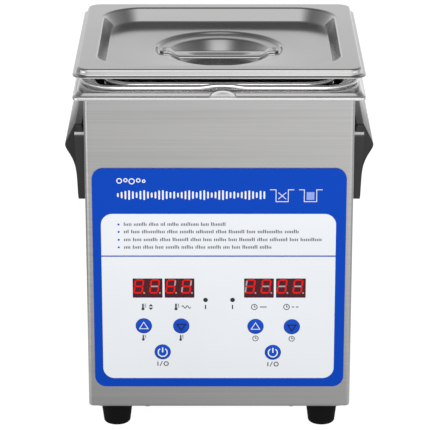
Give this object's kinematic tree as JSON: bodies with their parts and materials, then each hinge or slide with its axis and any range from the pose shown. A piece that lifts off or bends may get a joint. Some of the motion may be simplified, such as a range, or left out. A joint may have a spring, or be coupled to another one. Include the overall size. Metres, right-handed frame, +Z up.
{
  "type": "ultrasonic cleaner",
  "caption": "Bench-top ultrasonic cleaner with a stainless tank, loose lid, lift-out wire basket, digital key panel and side carrying handles.",
  "frame": {"origin": "on the bench, midway between the four feet, under the centre of the tank", "axes": "+Z up, the control panel faces -Y, +X to the right of someone facing the panel"},
  "size_m": [0.1884, 0.16, 0.2365],
  "materials": {
    "housing_steel": "fine horizontal brushing, satin",
    "tank_steel": "deep-drawn stainless, smooth satin",
    "lid_steel": "pressed stainless, fine satin",
    "wire_steel": "bright drawn stainless wire",
    "plated_steel": "zinc plated, dull",
    "panel_film": "printed polyester film, white field with a blue border",
    "key_film": "embossed blue keys",
    "display_window": "dark red display face, red segments",
    "indicator_lens": "small dark lens",
    "black_plastic": "moulded black plastic, fine grain",
    "foot_rubber": "black rubber",
    "circuit_board": "green solder mask",
    "aluminium_part": "turned or extruded",
    "piezo_ceramic": "fired ceramic",
    "brass_part": "stamped sheet",
    "heater_silicone": "silicone mat",
    "ferrite": "ferrite core with taped winding",
    "capacitor_sleeve": "shrink sleeve",
    "cable_sheath": "insulated wire",
    "ribbon_sheath": "flat grey ribbon"
  },
  "bodies": {
    "housing": {"housing_shell": "housing_steel", "base_plate": "plated_steel", "tank": "tank_steel", "control_overlay": "panel_film", "display_set_temp": "display_window", "display_actual_temp": "display_window", "display_minute": "display_window", "display_second": "display_window", "indicator_heater": "indicator_lens", "indicator_ultrasonic": "indicator_lens", "control_board": "circuit_board", "board_stud_1": "plated_steel", "board_stud_2": "plated_steel", "board_stud_3": "plated_steel", "board_stud_4": "plated_steel", "transducer_front_mass": "aluminium_part", "piezo_ring_upper": "piezo_ceramic", "piezo_ring_lower": "piezo_ceramic", "transducer_electrode": "brass_part", "transducer_back_mass": "plated_steel", "transducer_bolt": "plated_steel", "heater_pad": "heater_silicone", "temperature_sensor": "plated_steel", "generator_board": "circuit_board", "heat_sink": "aluminium_part", "output_transformer": "ferrite", "bus_capacitor": "capacitor_sleeve", "power_inlet": "black_plastic", "transducer_lead": "cable_sheath", "mains_lead": "cable_sheath", "ribbon_cable": "ribbon_sheath", "handle_left": "black_plastic", "handle_right": "black_plastic", "switch_temp_up": "black_plastic", "switch_temp_down": "black_plastic", "switch_heater_power": "black_plastic", "switch_time_up": "black_plastic", "switch_time_down": "black_plastic", "switch_ultrasonic_power": "black_plastic", "foot_front_left": "foot_rubber", "foot_screw_front_left": "plated_steel", "foot_front_right": "foot_rubber", "foot_screw_front_right": "plated_steel", "foot_rear_left": "foot_rubber", "foot_screw_rear_left": "plated_steel", "foot_rear_right": "foot_rubber", "foot_screw_rear_right": "plated_steel"},
    "basket": {"basket": "wire_steel"},
    "lid": {"lid_pan": "lid_steel", "lid_handle_strap": "lid_steel"},
    "bail_front": {"basket_bail_front": "wire_steel"},
    "bail_rear": {"basket_bail_rear": "wire_steel"},
    "fuse_drawer": {"fuse_drawer": "black_plastic"},
    "button_temp_up": {"button_temp_up": "key_film"},
    "button_temp_down": {"button_temp_down": "key_film"},
    "button_heater_power": {"button_heater_power": "key_film"},
    "button_time_up": {"button_time_up": "key_film"},
    "button_time_down": {"button_time_down": "key_film"},
    "button_ultrasonic_power": {"button_ultrasonic_power": "key_film"}
  },
  "joints": [
    {"name": "basket_lift", "type": "slide", "parent": "housing", "child": "basket", "axis": [0, 0, 1], "range_m": [0, 0.15]},
    {"name": "lid_lift", "type": "slide", "parent": "basket", "child": "lid", "axis": [0, 0, 1], "range_m": [0, 0.15]},
    {"name": "bail_front_fold", "type": "hinge", "parent": "basket", "child": "bail_front", "pos_m": [0, -0.006, 0.2241], "axis": [-1, 0, 0], "range_deg": [0, 90]},
    {"name": "bail_rear_fold", "type": "hinge", "parent": "basket", "child": "bail_rear", "pos_m": [0, 0.006, 0.2241], "axis": [1, 0, 0], "range_deg": [0, 90]},
    {"name": "fuse_drawer_slide", "type": "slide", "parent": "housing", "child": "fuse_drawer", "axis": [0, 1, 0], "range_m": [0, 0.014]},
    {"name": "button_temp_up_press", "type": "slide", "parent": "housing", "child": "button_temp_up", "axis": [0, 1, 0], "range_m": [0, 0.0005]},
    {"name": "button_temp_down_press", "type": "slide", "parent": "housing", "child": "button_temp_down", "axis": [0, 1, 0], "range_m": [0, 0.0005]},
    {"name": "button_heater_power_press", "type": "slide", "parent": "housing", "child": "button_heater_power", "axis": [0, 1, 0], "range_m": [0, 0.0005]},
    {"name": "button_time_up_press", "type": "slide", "parent": "housing", "child": "button_time_up", "axis": [0, 1, 0], "range_m": [0, 0.0005]},
    {"name": "button_time_down_press", "type": "slide", "parent": "housing", "child": "button_time_down", "axis": [0, 1, 0], "range_m": [0, 0.0005]},
    {"name": "button_ultrasonic_power_press", "type": "slide", "parent": "housing", "child": "button_ultrasonic_power", "axis": [0, 1, 0], "range_m": [0, 0.0005]}
  ],
  "couplings": [
    {"joint": "bail_front_fold", "follows": "lid_lift", "rad_per_m": 10.472},
    {"joint": "bail_rear_fold", "follows": "lid_lift", "rad_per_m": 10.472}
  ]
}
